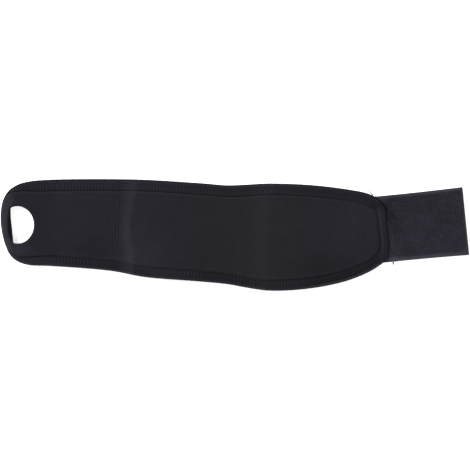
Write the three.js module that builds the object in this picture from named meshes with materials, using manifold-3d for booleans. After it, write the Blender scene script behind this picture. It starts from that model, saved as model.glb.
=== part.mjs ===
// Wrist support wrap, lying open: a foam panel with a thumb hole, a tape binding folded
// over the panel's edge and stitched flat, and a hook tape strap sewn under one end.
// Millimetres, +Z up. +X runs from the thumb loop to the free end of the strap, +Y across
// the wrap, and the origin lies on the resting surface under the middle of the wrap.

import * as THREE from "three";
import { mergeVertices } from "three/addons/utils/BufferGeometryUtils.js";
import Module from "manifold-3d";

const { lerp, smoothstep, degToRad } = THREE.MathUtils;

// Overall
const WRAP_LENGTH = 351; // thumb loop to the free end of the strap
const GAP = 0.3; // clearance between neighbouring pieces

// Foam panel
const PANEL_THICKNESS = 3.8; // foam with a knit face on both sides
const BOUND_THICKNESS = 1.8; // where the stitched binding squeezes the foam
const EDGE_WALL = 1.0; // height left at the very edge, which is rounded off
const EDGE_ROUND = 1.2; // how far in the rounding of a bound edge reaches
const RAW_EDGE_ROUND = 3.0; // the same on the bare edge of the thumb loop
const SQUEEZE_EASE = 3.2; // length over which the foam swells again past the binding

// Edge binding
const TAPE_WALL = 0.7; // thickness of the folded tape
const TAPE_WIDTH = { upper: 8.4, end: 6.6, lower: 7.5 }; // fold to inner edge, on each face
const TAPE_WIDTH_EASE = 20; // length over which one of these widths passes into the next
const TAPE_TIP_WIDTH = 1.6; // width that is left where the tape runs out at the thumb loop
const TAPE_TAPER = { upper: 23, lower: 30 }; // lengths over which it narrows to that at its ends
const TAPE_STATIONS = 186; // sections along the tape
const FOLD_CLEARANCE = 0.5; // between the panel's edge and the inside of the fold
const TIP_EASE = { start: 0.8, end: 4 }; // past the tape's tips the panel eases to its bare edge
const BEND_SHARE = 0.45; // the fold takes at most this share of the tape's width
const OUTER_BEND = [90, 125, 155, 180, 205, 235, 270]; // degrees round the outside of the fold
const INNER_BEND = [270, 225, 180, 135, 90]; // and back round its inside

// Hook tape strap, in its own frame: x along the strap from its sewn end, y across it
const STRAP = {
  along: 277.5, // place of the sewn end's middle, from the thumb loop
  across: 3.3,
  turn: 5.7, // degrees that the strap points away from the wrap's length
  length: 71.3,
  sewnWidth: 49.8,
  freeWidth: 51,
  waist: 0.6, // how much narrower the tape is half way along, where it pulls in
  base: 1.0, // thickness of the woven tape
};
const STRAP_STEPS = 8; // straight steps along each side of the strap
const HOOKS = {
  start: 16.5, // the sewn end is bare
  endMargin: 1.2,
  selvedge: 2.4, // bare strip along each side
  height: 1.4, // how far the field of hooks stands above the tape
};

// Thumb hole: a D whose round side faces the strap. The angles end the round side, and the
// straight side joins its ends.
const THUMB_HOLE = {
  along: 12.3,
  across: 7.5,
  reach: 12.75,
  halfHeight: 14.35,
  firstAngle: 115,
  lastAngle: -105.5,
  curveSegments: 18,
};

// Long edges of the wrap: distance from the thumb loop, then both edges from the centre line
const SECTIONS = [
  { along: 6.4, upper: 33.75, lower: -14.5 },
  { along: 9.75, upper: 36.1, lower: -18.0 },
  { along: 14.25, upper: 38.3, lower: -20.6 },
  { along: 21.75, upper: 40.1, lower: -22.5 },
  { along: 36.75, upper: 41.3, lower: -23.1 },
  { along: 81.75, upper: 41.7, lower: -26.7 },
  { along: 108.0, upper: 41.1, lower: -31.3 },
  { along: 149.25, upper: 38.7, lower: -34.7 },
  { along: 170.0, upper: 37.1, lower: -36.7 },
  { along: 183.5, upper: 37.6, lower: -39.1 },
  { along: 201.75, upper: 38.4, lower: -41.5 },
  { along: 231.75, upper: 37.3, lower: -39.8 },
  { along: 258.0, upper: 34.3, lower: -34.5 },
  { along: 275.25, upper: 30.9, lower: -27.9 },
];

// The tape's upper tip reaches a little further round the thumb loop than its lower one
const UPPER_TIP = { along: 4.5, across: 31.8 };

// Rounded end over the strap, from the upper edge to the lower
const STRAP_END = [
  { along: 282.6, across: 27.2 },
  { along: 287.0, across: 22.2 },
  { along: 288.8, across: 8.0 },
  { along: 290.3, across: -10.0 },
  { along: 288.4, across: -19.0 },
  { along: 282.8, across: -23.9 },
];
const UPPER_STRAP_CORNER = 1; // rows of STRAP_END where the panel's corners lie
const LOWER_STRAP_CORNER = 4;

// Round end of the thumb loop, from the lower edge to the upper
const THUMB_END = [
  { along: 3.6, across: -8.8 },
  { along: 1.0, across: 0.2 },
  { along: 0.0, across: 13.0 },
  { along: 1.0, across: 24.8 },
  { along: 3.4, across: 30.3 },
];

// Waves that the wrap keeps from being folded. start: where it lifts off on the centre line,
// front, level and back: lengths of its climb, its top and its fall, rise: height of the top,
// lean: shift of the wave along the wrap for each millimetre across it.
const FOLDS = [
  { name: "thumb loop curl", start: -7.5, front: 18, level: 0, back: 33, rise: 3.6, lean: 0 },
  { name: "fold near the thumb", start: 86, front: 18, level: 14, back: 64, rise: 4.4, lean: 0.06 },
  { name: "fold near the strap", start: 183, front: 22, level: 8, back: 47, rise: 4.2, lean: 0.04 },
];

// The panel climbs onto the strap between these places
const STRAP_CLIMB = { start: 259, end: 276, height: STRAP.base + GAP };

// Panel mesh: grid lines near a bound edge, as shares of the squeezed strip and one past it,
// lines at set distances from the bare thumb end, and the evenly spaced lines between
const SQUEEZE_LINES = [0, 0.07, 0.16, 0.55, 1.03];
const THUMB_LINES = [0, 0.6, 1.6, 3.2, 5.6];
const ROWS_BETWEEN = 5;
const COLUMNS_BETWEEN = 70;
const STEPS_PER_ROW = 24; // samples of the outline between two of its rows
const EDGE_SAMPLES = 1500; // samples of the panel's edge, to measure distances from it

const LOOKS = {
  panel: { color: 0x28272c, roughness: 0.85, metalness: 0 },
  edge_binding: { color: 0x232227, roughness: 0.9, metalness: 0 },
  hook_strap: { color: 0x2c2b32, roughness: 0.7, metalness: 0 },
};

const wasm = await Module();
wasm.setup();

// Outline

// The finished edge as one closed curve, clockwise from the upper end of the tape
const outlineRows = [
  UPPER_TIP,
  ...SECTIONS.map(({ along, upper }) => ({ along, across: upper })),
  ...STRAP_END,
  ...SECTIONS.map(({ along, lower }) => ({ along, across: lower })).reverse(),
  ...THUMB_END,
];
const outline = new THREE.CatmullRomCurve3(
  outlineRows.map(({ along, across }) => new THREE.Vector3(along, across, 0)),
  true,
  "centripetal",
);
outline.arcLengthDivisions = outlineRows.length * STEPS_PER_ROW;
const outlineLengths = outline.getLengths();
const outlineLength = outline.getLength();

// Share of the outline's length at one of its rows
const shareOfRow = (row) => outlineLengths[row * STEPS_PER_ROW] / outlineLength;
const strapEndRow = outlineRows.indexOf(STRAP_END[0]);
const upperCorner = shareOfRow(strapEndRow + UPPER_STRAP_CORNER);
const lowerCorner = shareOfRow(strapEndRow + LOWER_STRAP_CORNER);
const tapeEnd = shareOfRow(outlineRows.indexOf(THUMB_END[0]) - 1);

function inwardNormal(share) {
  const tangent = outline.getTangentAt(share);
  return new THREE.Vector3(tangent.y, -tangent.x, 0);
}

// Width of the tape at a place on the outline, with the tip's width kept past its tips
function tapeWidth(share) {
  const ease = TAPE_WIDTH_EASE / outlineLength;
  const toEnd = smoothstep(share, upperCorner - ease, upperCorner);
  const toLower = smoothstep(share, lowerCorner, lowerCorner + ease);
  const beforeLower = lerp(TAPE_WIDTH.upper, TAPE_WIDTH.end, toEnd);
  const full = lerp(beforeLower, TAPE_WIDTH.lower, toLower);
  const upperTaper = smoothstep(share * outlineLength, 0, TAPE_TAPER.upper);
  const lowerTaper = smoothstep((tapeEnd - share) * outlineLength, 0, TAPE_TAPER.lower);
  return lerp(TAPE_TIP_WIDTH, full, Math.min(upperTaper, lowerTaper));
}

// 1 where the tape grips the panel, 0 on its bare edge
function tapeGrip(share) {
  const pastTip = Math.min(share - tapeEnd, 1 - share) * outlineLength;
  return 1 - smoothstep(pastTip, TIP_EASE.start, TIP_EASE.end);
}

// The panel's own edge lies inside the fold of the tape, and on the outline where it is bare
function panelEdge(share) {
  const inset = (TAPE_WALL + FOLD_CLEARANCE) * tapeGrip(share);
  return outline.getPointAt(share).addScaledVector(inwardNormal(share), inset);
}

// Heights

function foldRise(fold, along, across) {
  const offset = along - fold.start - fold.lean * across;
  const fallStart = fold.front + fold.level;
  const climb = smoothstep(offset, 0, fold.front);
  const fall = smoothstep(offset, fallStart, fallStart + fold.back);
  return fold.rise * (climb - fall);
}

// Height of the middle of the panel's thickness
function middleHeight(along, across) {
  const folds = FOLDS.reduce((sum, fold) => sum + foldRise(fold, along, across), 0);
  const climb = STRAP_CLIMB.height * smoothstep(along, STRAP_CLIMB.start, STRAP_CLIMB.end);
  return PANEL_THICKNESS / 2 + folds + climb;
}

// Nearest place on the panel's edge, from samples of it
const edgeSamples = Array.from({ length: EDGE_SAMPLES }, (_, i) => {
  const share = i / EDGE_SAMPLES;
  return { share, point: panelEdge(share) };
});

function nearestEdge(point) {
  const distances = edgeSamples.map((sample) => sample.point.distanceTo(point));
  const index = distances.indexOf(Math.min(...distances));
  const beside = [index - 1, index + 1].map((k) => edgeSamples.at(k % EDGE_SAMPLES).point);
  const { share, point: edge } = edgeSamples[index];
  const distance = Math.min(
    ...beside.map((other) => {
      const foot = new THREE.Line3(edge, other).closestPointToPoint(point, true, new THREE.Vector3());
      return foot.distanceTo(point);
    }),
  );
  return { distance, share };
}

// Thickness at a distance from an edge whose corners are rounded off
function roundedEdge(thickness, distance, round) {
  const fromRound = Math.max(0, 1 - distance / round);
  return lerp(thickness, EDGE_WALL, 1 - Math.sqrt(1 - fromRound * fromRound));
}

// How far in from the panel's edge the tape squeezes it
const squeezeEnd = (share) => tapeWidth(share) - TAPE_WALL;

// The foam is squeezed under the tape, and its bare edge is only rounded
function panelThickness(point) {
  const { distance, share } = nearestEdge(point);
  const swell = smoothstep(distance, squeezeEnd(share), squeezeEnd(share) + SQUEEZE_EASE);
  const squeezed = lerp(BOUND_THICKNESS, PANEL_THICKNESS, swell);
  const bound = roundedEdge(squeezed, distance, EDGE_ROUND);
  const bare = roundedEdge(PANEL_THICKNESS, distance, RAW_EDGE_ROUND);
  return lerp(bare, bound, tapeGrip(share));
}

// Meshes

// A closed surface through rings of points, each ring with the same number of them, whose
// two ends are capped
function sweptGeometry(rings, capOutline) {
  const size = rings[0].length;
  const positions = rings.flat().flatMap((p) => [p.x, p.y, p.z]);
  const faces = [];
  for (let r = 0; r + 1 < rings.length; r++) {
    for (let k = 0; k < size; k++) {
      const next = (k + 1) % size;
      const [a, b] = [r * size + k, r * size + next];
      faces.push(a, a + size, b, b, a + size, b + size);
    }
  }
  const last = (rings.length - 1) * size;
  for (const [a, b, c] of THREE.ShapeUtils.triangulateShape(capOutline, [])) {
    faces.push(a, b, c, last + a, last + c, last + b);
  }
  return new THREE.BufferGeometry()
    .setAttribute("position", new THREE.Float32BufferAttribute(positions, 3))
    .setIndex(faces);
}

// A sheet from a grid of its points, each with a top and a bottom height
function sheetGeometry(grid) {
  const columns = grid.length;
  const rows = grid[0].length;
  const positions = [];
  for (const side of ["top", "bottom"]) {
    for (const point of grid.flat()) positions.push(point.x, point.y, point[side]);
  }
  const under = columns * rows;
  const at = (i, j) => i * rows + j;
  const faces = [];
  const quad = (a, b, c, d) => faces.push(a, b, c, a, c, d);
  for (let i = 0; i + 1 < columns; i++) {
    for (let j = 0; j + 1 < rows; j++) {
      const corners = [at(i, j), at(i, j + 1), at(i + 1, j + 1), at(i + 1, j)];
      quad(...corners);
      quad(...corners.reverse().map((k) => k + under));
    }
  }
  const rim = [];
  for (let i = 0; i + 1 < columns; i++) rim.push(at(i, 0));
  for (let j = 0; j + 1 < rows; j++) rim.push(at(columns - 1, j));
  for (let i = columns - 1; i > 0; i--) rim.push(at(i, rows - 1));
  for (let j = rows - 1; j > 0; j--) rim.push(at(0, j));
  rim.forEach((a, k) => {
    const b = rim[(k + 1) % rim.length];
    quad(a, b, b + under, a + under);
  });
  return new THREE.BufferGeometry()
    .setAttribute("position", new THREE.Float32BufferAttribute(positions, 3))
    .setIndex(faces);
}

function toSolid(geometry) {
  const bare = geometry.clone();
  for (const name of ["normal", "uv"]) bare.deleteAttribute(name);
  const merged = mergeVertices(bare, 1e-4);
  return new wasm.Manifold(
    new wasm.Mesh({
      numProp: 3,
      vertProperties: new Float32Array(merged.attributes.position.array),
      triVerts: new Uint32Array(merged.index.array),
    }),
  );
}

function toGeometry(solid) {
  const mesh = solid.getMesh();
  return new THREE.BufferGeometry()
    .setAttribute("position", new THREE.BufferAttribute(mesh.vertProperties, 3))
    .setIndex(new THREE.BufferAttribute(mesh.triVerts, 1));
}

function namedMesh(name, geometry) {
  geometry.computeVertexNormals();
  const mesh = new THREE.Mesh(geometry, new THREE.MeshStandardMaterial(LOOKS[name]));
  mesh.name = name;
  return mesh;
}

// Pieces

// Distances of the grid lines that follow a bound edge
function boundLines(share) {
  const strip = squeezeEnd(share);
  return [...SQUEEZE_LINES.map((part) => part * strip), strip + SQUEEZE_EASE];
}

// Shares of a length: at set distances from both of its ends and evenly between them
function gridShares(length, fromStart, fromEnd, between) {
  const first = fromStart.map((distance) => distance / length);
  const last = fromEnd.map((distance) => 1 - distance / length).reverse();
  const middle = Array.from({ length: between }, (_, i) =>
    lerp(first.at(-1), last[0], (i + 1) / (between + 1)),
  );
  return [...first, ...middle, ...last];
}

// A point of the panel, blended from its four sides: p along the wrap, q from the upper edge
function panelPoint(p, q) {
  const sides = [
    [panelEdge(lerp(0, upperCorner, p)), 1 - q],
    [panelEdge(lerp(tapeEnd, lowerCorner, p)), q],
    [panelEdge(lerp(1, tapeEnd, q)), 1 - p],
    [panelEdge(lerp(upperCorner, lowerCorner, q)), p],
    [panelEdge(0), -(1 - p) * (1 - q)],
    [panelEdge(upperCorner), -p * (1 - q)],
    [panelEdge(tapeEnd), -(1 - p) * q],
    [panelEdge(lowerCorner), -p * q],
  ];
  const point = new THREE.Vector3();
  for (const [side, weight] of sides) point.addScaledVector(side, weight);
  return point;
}

function thumbHoleSolid() {
  const { along, across, reach, halfHeight, firstAngle, lastAngle, curveSegments } = THUMB_HOLE;
  const shape = new THREE.Shape();
  shape.absellipse(
    along, across, reach, halfHeight, degToRad(firstAngle), degToRad(lastAngle), true,
  );
  const depth = 10 * PANEL_THICKNESS; // well past both faces
  const prism = new THREE.ExtrudeGeometry(shape, { depth, bevelEnabled: false, curveSegments });
  return toSolid(prism.translate(0, 0, -depth / 2));
}

function makePanel() {
  const length = panelPoint(0, 0.5).distanceTo(panelPoint(1, 0.5));
  const columns = gridShares(length, THUMB_LINES, boundLines(upperCorner), COLUMNS_BETWEEN);
  const grid = columns.map((p) => {
    const height = panelPoint(p, 0).distanceTo(panelPoint(p, 1));
    const upperLines = boundLines(lerp(0, upperCorner, p));
    const lowerLines = boundLines(lerp(tapeEnd, lowerCorner, p));
    return gridShares(height, upperLines, lowerLines, ROWS_BETWEEN).map((q) => {
      const point = panelPoint(p, q);
      const half = panelThickness(point) / 2;
      const middle = middleHeight(point.x, point.y);
      return { x: point.x, y: point.y, top: middle + half, bottom: middle - half };
    });
  });
  const sheet = toSolid(sheetGeometry(grid));
  const holed = sheet.subtract(thumbHoleSolid());
  return namedMesh("panel", toGeometry(holed));
}

// Section of the folded tape: inward from its fold, then up from the panel's middle
function tapeSection(width) {
  const slot = BOUND_THICKNESS / 2 + GAP;
  const outside = slot + TAPE_WALL;
  const bend = (start, depth, halfHeight, degrees) =>
    degrees.map((angle) => [
      start + depth * (1 + Math.cos(degToRad(angle))),
      halfHeight * Math.sin(degToRad(angle)),
    ]);
  const foldDepth = Math.min(outside, BEND_SHARE * width);
  const slotDepth = Math.min(slot, BEND_SHARE * (width - TAPE_WALL));
  const fold = bend(0, foldDepth, outside, OUTER_BEND);
  const inside = bend(TAPE_WALL, slotDepth, slot, INNER_BEND);
  return [
    [width, outside], ...fold, [width, -outside],
    [width, -slot], ...inside, [width, slot],
  ].map(([inward, up]) => new THREE.Vector2(inward, up));
}

function makeBinding() {
  const rings = [];
  for (let i = 0; i <= TAPE_STATIONS; i++) {
    const share = (tapeEnd * i) / TAPE_STATIONS;
    const edge = outline.getPointAt(share);
    const inward = inwardNormal(share);
    rings.push(
      tapeSection(tapeWidth(share)).map((point) => {
        const place = edge.clone().addScaledVector(inward, point.x);
        place.z = middleHeight(place.x, place.y) + point.y;
        return place;
      }),
    );
  }
  const geometry = sweptGeometry(rings, tapeSection(TAPE_TIP_WIDTH));
  return namedMesh("edge_binding", geometry);
}

// A flat plate from its first end to its last, whose width changes along it
function taperedPlate(first, last, widthAt, bottom, top) {
  const steps = Array.from({ length: STRAP_STEPS + 1 }, (_, i) => lerp(first, last, i / STRAP_STEPS));
  const lowerSide = steps.map((x) => new THREE.Vector2(x, -widthAt(x) / 2));
  const upperSide = steps.map((x) => new THREE.Vector2(x, widthAt(x) / 2)).reverse();
  const shape = new THREE.Shape([...lowerSide, ...upperSide]);
  const plate = new THREE.ExtrudeGeometry(shape, { depth: top - bottom, bevelEnabled: false });
  return toSolid(plate.translate(0, 0, bottom));
}

function makeStrap() {
  const { length, sewnWidth, freeWidth, waist, base } = STRAP;
  const tapeWidthAt = (x) => {
    const share = x / length;
    return lerp(sewnWidth, freeWidth, share) - 4 * waist * share * (1 - share);
  };
  const hookWidthAt = (x) => tapeWidthAt(x) - 2 * HOOKS.selvedge;
  const tape = taperedPlate(0, length, tapeWidthAt, 0, base);
  const hooks = taperedPlate(
    HOOKS.start, length - HOOKS.endMargin, hookWidthAt, base / 2, base + HOOKS.height,
  );
  const strap = namedMesh("hook_strap", toGeometry(tape.add(hooks)));
  strap.position.set(STRAP.along, STRAP.across, 0);
  strap.rotation.z = degToRad(STRAP.turn);
  return strap;
}

const wrap = new THREE.Group();
wrap.name = "wrist_wrap";
wrap.add(makePanel(), makeBinding(), makeStrap());
wrap.position.x = -WRAP_LENGTH / 2;

export default wrap;
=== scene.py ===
import math

import bpy
import numpy as np
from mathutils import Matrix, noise
from mathutils.kdtree import KDTree


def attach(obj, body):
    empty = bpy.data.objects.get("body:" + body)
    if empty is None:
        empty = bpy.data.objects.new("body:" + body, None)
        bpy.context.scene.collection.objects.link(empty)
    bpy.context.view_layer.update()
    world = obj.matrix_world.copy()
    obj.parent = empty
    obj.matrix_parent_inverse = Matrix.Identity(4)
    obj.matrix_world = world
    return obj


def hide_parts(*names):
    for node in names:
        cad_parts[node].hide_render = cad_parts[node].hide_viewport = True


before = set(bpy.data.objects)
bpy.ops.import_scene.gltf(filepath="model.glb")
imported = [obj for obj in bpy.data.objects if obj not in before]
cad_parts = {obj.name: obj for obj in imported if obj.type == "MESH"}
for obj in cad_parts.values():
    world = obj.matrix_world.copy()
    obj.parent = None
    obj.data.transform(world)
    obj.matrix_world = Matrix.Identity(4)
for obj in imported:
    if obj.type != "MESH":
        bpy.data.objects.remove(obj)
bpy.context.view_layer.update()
mm = 0.001
print("frame loaded:", ", ".join(sorted(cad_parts)))


# small sums that all pieces share, lengths in millimetres

def ease(low, high, value):
    share = np.clip((value - low) / (high - low), 0, 1)
    return share * share * (3 - 2 * share)


def within(rise, fall, value):  # 0 to 1 over the first range and back over the second
    return ease(*rise, value) * (1 - ease(*fall, value))


def mixed(a, b, share):
    return a + (b - a) * share


def bell(value, middle, width):
    return np.exp(-((value - middle) / width) ** 2)


def fading(distance, reach):  # 1 falling off with the distance
    return np.exp(-np.clip(distance, 0, 99) / reach)


def rounded(distance, radius):  # 0 at an edge to 1 past its rounding
    return np.sqrt(1 - np.clip(1 - distance / radius, 0, 1) ** 2)


def blots(rows, x, y):  # soft spots, each with its place, its sizes and how strong it is
    return sum(change * bell(x, a, long) * bell(y, b, wide) for a, b, long, wide, change in rows)


def unit(vectors):
    return vectors / np.linalg.norm(vectors, axis=-1, keepdims=True)


def joined(*tables):  # side by side
    return np.concatenate(tables, axis=1)


def fromTable(rows, value):
    return np.interp(value, *zip(*rows))


def softRamp(low, high, softness, value):  # straight ramp from 0 to 1 with eased ends
    start = np.logaddexp(0, (value - low) / softness)
    end = np.logaddexp(0, (value - high) / softness)
    return softness * (start - end) / (high - low)


def ripple(x, y, size, seed):  # smooth noise from -1 to 1 with waves of about this size
    flat = zip(np.ravel(x / size), np.ravel(y / size))
    values = [noise.noise((a, b, 7.3 * seed + 0.5)) for a, b in flat]
    return np.reshape(values, np.shape(x))


def waver(run, size, seed):  # the same along one line
    return ripple(run, run * 0, size, seed)


def closedCurve(rows, steps):  # smooth closed line through the rows
    rows = np.array(rows, float)
    before, here, after, beyond = [np.roll(rows, shift, axis=0) for shift in (1, 0, -1, -2)]
    gaps = (here - before, after - here, beyond - after)
    d0, d1, d2 = [np.sqrt(np.linalg.norm(gap, axis=1))[:, None] for gap in gaps]
    leave = (gaps[0] / d0 - (after - before) / (d0 + d1) + gaps[1] / d1) * d1
    arrive = (gaps[1] / d1 - (beyond - here) / (d1 + d2) + gaps[2] / d2) * d1
    t = np.linspace(0, 1, steps, endpoint=False)[None, :, None]
    curve = (2 * t**3 - 3 * t**2 + 1) * here[:, None] + (t**3 - 2 * t**2 + t) * leave[:, None]
    curve = curve + (3 * t**2 - 2 * t**3) * after[:, None] + (t**3 - t**2) * arrive[:, None]
    return curve.reshape(-1, 2)


class ClosedLine:
    # a closed line measured by the run along it
    probe = 0.3  # how far its direction looks to both sides

    def __init__(self, points):
        self.points = points
        self.loop = np.vstack([points, points[:1]])
        steps = np.linalg.norm(np.diff(self.loop, axis=0), axis=1)
        self.runs = np.concatenate([[0], np.cumsum(steps)])
        self.length = self.runs[-1]
        self.tree = KDTree(len(points))
        for index, (x, y) in enumerate(points):
            self.tree.insert((x, y, 0), index)
        self.tree.balance()

    def at(self, run):
        run = np.mod(run, self.length)
        both = [np.interp(run, self.runs, self.loop[:, axis]) for axis in (0, 1)]
        return np.stack(both, axis=-1)

    def direction(self, run):
        return unit(self.at(run + self.probe) - self.at(run - self.probe))

    def nearest(self, spots):  # distance to the line and the run there
        flat = spots.reshape(-1, 2)
        index = np.array([self.tree.find((x, y, 0))[1] for x, y in flat])
        distance = np.full(len(flat), np.inf)
        run = np.zeros(len(flat))
        here = self.points[index]
        for side in (-1, 1):
            step = self.points[(index + side) % len(self.points)] - here
            share = np.sum((flat - here) * step, axis=1) / np.sum(step * step, axis=1)
            share = np.clip(share, 0, 1)
            gap = np.linalg.norm(flat - here - share[:, None] * step, axis=1)
            closer = gap < distance
            distance = np.where(closer, gap, distance)
            reach = self.runs[index] + side * share * np.linalg.norm(step, axis=1)
            run = np.where(closer, reach, run)
        shape = spots.shape[:-1]
        return distance.reshape(shape), np.mod(run, self.length).reshape(shape)


# mesh makers

def addObject(name, data):
    made = bpy.data.objects.new(name, data)
    bpy.context.scene.collection.objects.link(made)
    return made


def makePiece(name, spots, faces, finishes, values, faceFinish=None, sharp=50):
    mesh = bpy.data.meshes.new(name)
    mesh.from_pydata((np.asarray(spots) * mm).tolist(), [], np.asarray(faces).tolist())
    for finish in finishes:
        mesh.materials.append(finish.material)
    if faceFinish is not None:
        mesh.polygons.foreach_set("material_index", np.asarray(faceFinish, np.int32))
    for key, numbers in values.items():
        layer = mesh.attributes.new(key, "FLOAT", "POINT")
        layer.data.foreach_set("value", np.asarray(numbers, np.float32).ravel())
    mesh.polygons.foreach_set("use_smooth", np.ones(len(mesh.polygons), bool))
    mesh.set_sharp_from_angle(angle=math.radians(sharp))
    mesh.update()
    piece = addObject(name, mesh)
    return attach(piece, "root")


def sheetFaces(keep):  # top, bottom and rim faces of a grid of cells, columns by rows
    columns, rows = keep.shape[0] + 1, keep.shape[1] + 1
    index = np.arange(columns * rows).reshape(columns, rows)
    under = columns * rows
    corners = [index[:-1, :-1], index[:-1, 1:], index[1:, 1:], index[1:, :-1]]
    top = np.stack([corner[keep] for corner in corners], axis=1)
    around = np.pad(keep, 1)
    neighbours = [around[:-2, 1:-1], around[1:-1, 2:], around[2:, 1:-1], around[1:-1, :-2]]
    rims = []
    for side, neighbour in enumerate(neighbours):
        bare = keep & ~neighbour
        a = corners[side][bare]
        b = corners[(side + 1) % 4][bare]
        rims.append(np.stack([b, a, a + under, b + under], axis=1))
    return top, top[:, ::-1] + under, np.vstack(rims)


def ringTurns(sides, first=0.0):  # angles round a tube
    return np.arange(sides) / sides * 2 * math.pi + first


def tubeFaces(count, rings, sides):  # faces of many equal closed tubes, as quads
    ring = np.arange(rings - 1)[:, None] * sides
    side = np.arange(sides)[None, :]
    after = (side + 1) % sides
    walls = np.stack([ring + side, ring + after, ring + sides + after, ring + sides + side], axis=-1)
    last = (rings - 1) * sides
    fan = range(1, sides - 2, 2)
    caps = [[k + 2, k + 1, k, 0] for k in fan]
    caps += [[last, last + k, last + k + 1, last + k + 2] for k in fan]
    one = np.vstack([walls.reshape(-1, 4), caps])
    shift = np.arange(count)[:, None, None] * rings * sides
    return (one[None] + shift).reshape(-1, 4)


# shader maths

def operator(operation, reflected=False):  # a Python operator that adds a Math node
    def work(wire, other):
        return wire.finish.maths(operation, *((other, wire) if reflected else (wire, other)))
    return work


class Wire:
    # a socket that takes part in Python sums
    __add__, __radd__ = operator("ADD"), operator("ADD", True)
    __sub__, __rsub__ = operator("SUBTRACT"), operator("SUBTRACT", True)
    __mul__, __rmul__ = operator("MULTIPLY"), operator("MULTIPLY", True)
    __truediv__, __rtruediv__ = operator("DIVIDE"), operator("DIVIDE", True)

    def __init__(self, finish, socket):
        self.finish = finish
        self.socket = socket

    def output(self, name):
        return Wire(self.finish, self.socket.node.outputs[name])


class Finish:
    # one material, with its nodes
    def __init__(self, name):
        self.material = bpy.data.materials.new(name)
        self.material.use_nodes = True
        self.tree = self.material.node_tree
        self.shader = self.tree.nodes["Principled BSDF"]

    def feed(self, target, value):
        if isinstance(value, Wire):
            self.tree.links.new(value.socket, target)
        else:
            target.default_value = value

    def node(self, kind, settings=None, sockets=None, out=0):
        made = self.tree.nodes.new("ShaderNode" + kind)
        for key, value in (settings or {}).items():
            setattr(made, key, value)
        for key, value in (sockets or {}).items():
            self.feed(made.inputs[key], value)
        return Wire(self, made.outputs[out])

    def maths(self, operation, a, b=0.0):
        return self.node("Math", dict(operation=operation), {0: a, 1: b})

    def sine(self, turns):  # one wave for each whole turn
        return self.maths("SINE", turns * (2 * math.pi))

    def step(self, value, low, high):  # smooth 0 to 1
        sockets = {"Value": value, "From Min": low, "From Max": high}
        return self.node("MapRange", dict(interpolation_type="SMOOTHSTEP"), sockets)

    def places(self):  # the piece's own coordinates in millimetres
        metres = self.node("TexCoord", out="Object")
        return self.node("VectorMath", dict(operation="SCALE"), {0: metres, "Scale": 1 / mm})

    def stored(self, name):
        return self.node("Attribute", dict(attribute_name=name), out="Fac")

    def spot(self, x, y):
        return self.node("CombineXYZ", sockets={0: x, 1: y})

    def cloud(self, place, scale, detail=2.0):
        return self.node("TexNoise", sockets={"Vector": place, "Scale": scale, "Detail": detail})

    def colours(self, share, low, high):
        return self.node("Mix", dict(data_type="RGBA"), {0: share, 6: low, 7: high}, out=2)

    def tinted(self, colour, tint, share=1.0):
        settings = dict(data_type="RGBA", blend_type="MULTIPLY")
        return self.node("Mix", settings, {0: share, 6: colour, 7: tint}, out=2)

    def darkened(self, colour, share):  # the colour times a number
        return self.tinted(colour, self.node("CombineColor", sockets={0: share, 1: share, 2: share}))

    def dress(self, sockets):
        for name, value in sockets.items():
            self.feed(self.shader.inputs[name], value)

    def relief(self, height, depth):  # depth in millimetres
        return self.node("Bump", None, {"Distance": depth * mm, "Height": height})

    def clothe(self, colour, weave, fuzz, look):  # what all the cloths have in common
        # each cloth's stored tone carries its painted light and shade
        shaded = self.darkened(colour, look["weave"][0] + look["weave"][1] * weave)
        self.dress({
            "Base Color": self.darkened(shaded, self.stored(look["tone"])),
            "Roughness": look["rough"][0] + look["rough"][1] * fuzz,
            "Normal": self.relief(weave + look["fuzz"] * fuzz, look["depth"]),
            "Specular IOR Level": look["specular"],
            "Sheen Weight": look["sheen"][0],
            "Sheen Roughness": look["sheen"][1],
        })


def shade(red, green, blue):  # screen colour to the renderer's
    linear = [((c / 255 + 0.055) / 1.055) ** 2.4 for c in (red, green, blue)]
    return (*linear, 1.0)


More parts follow.
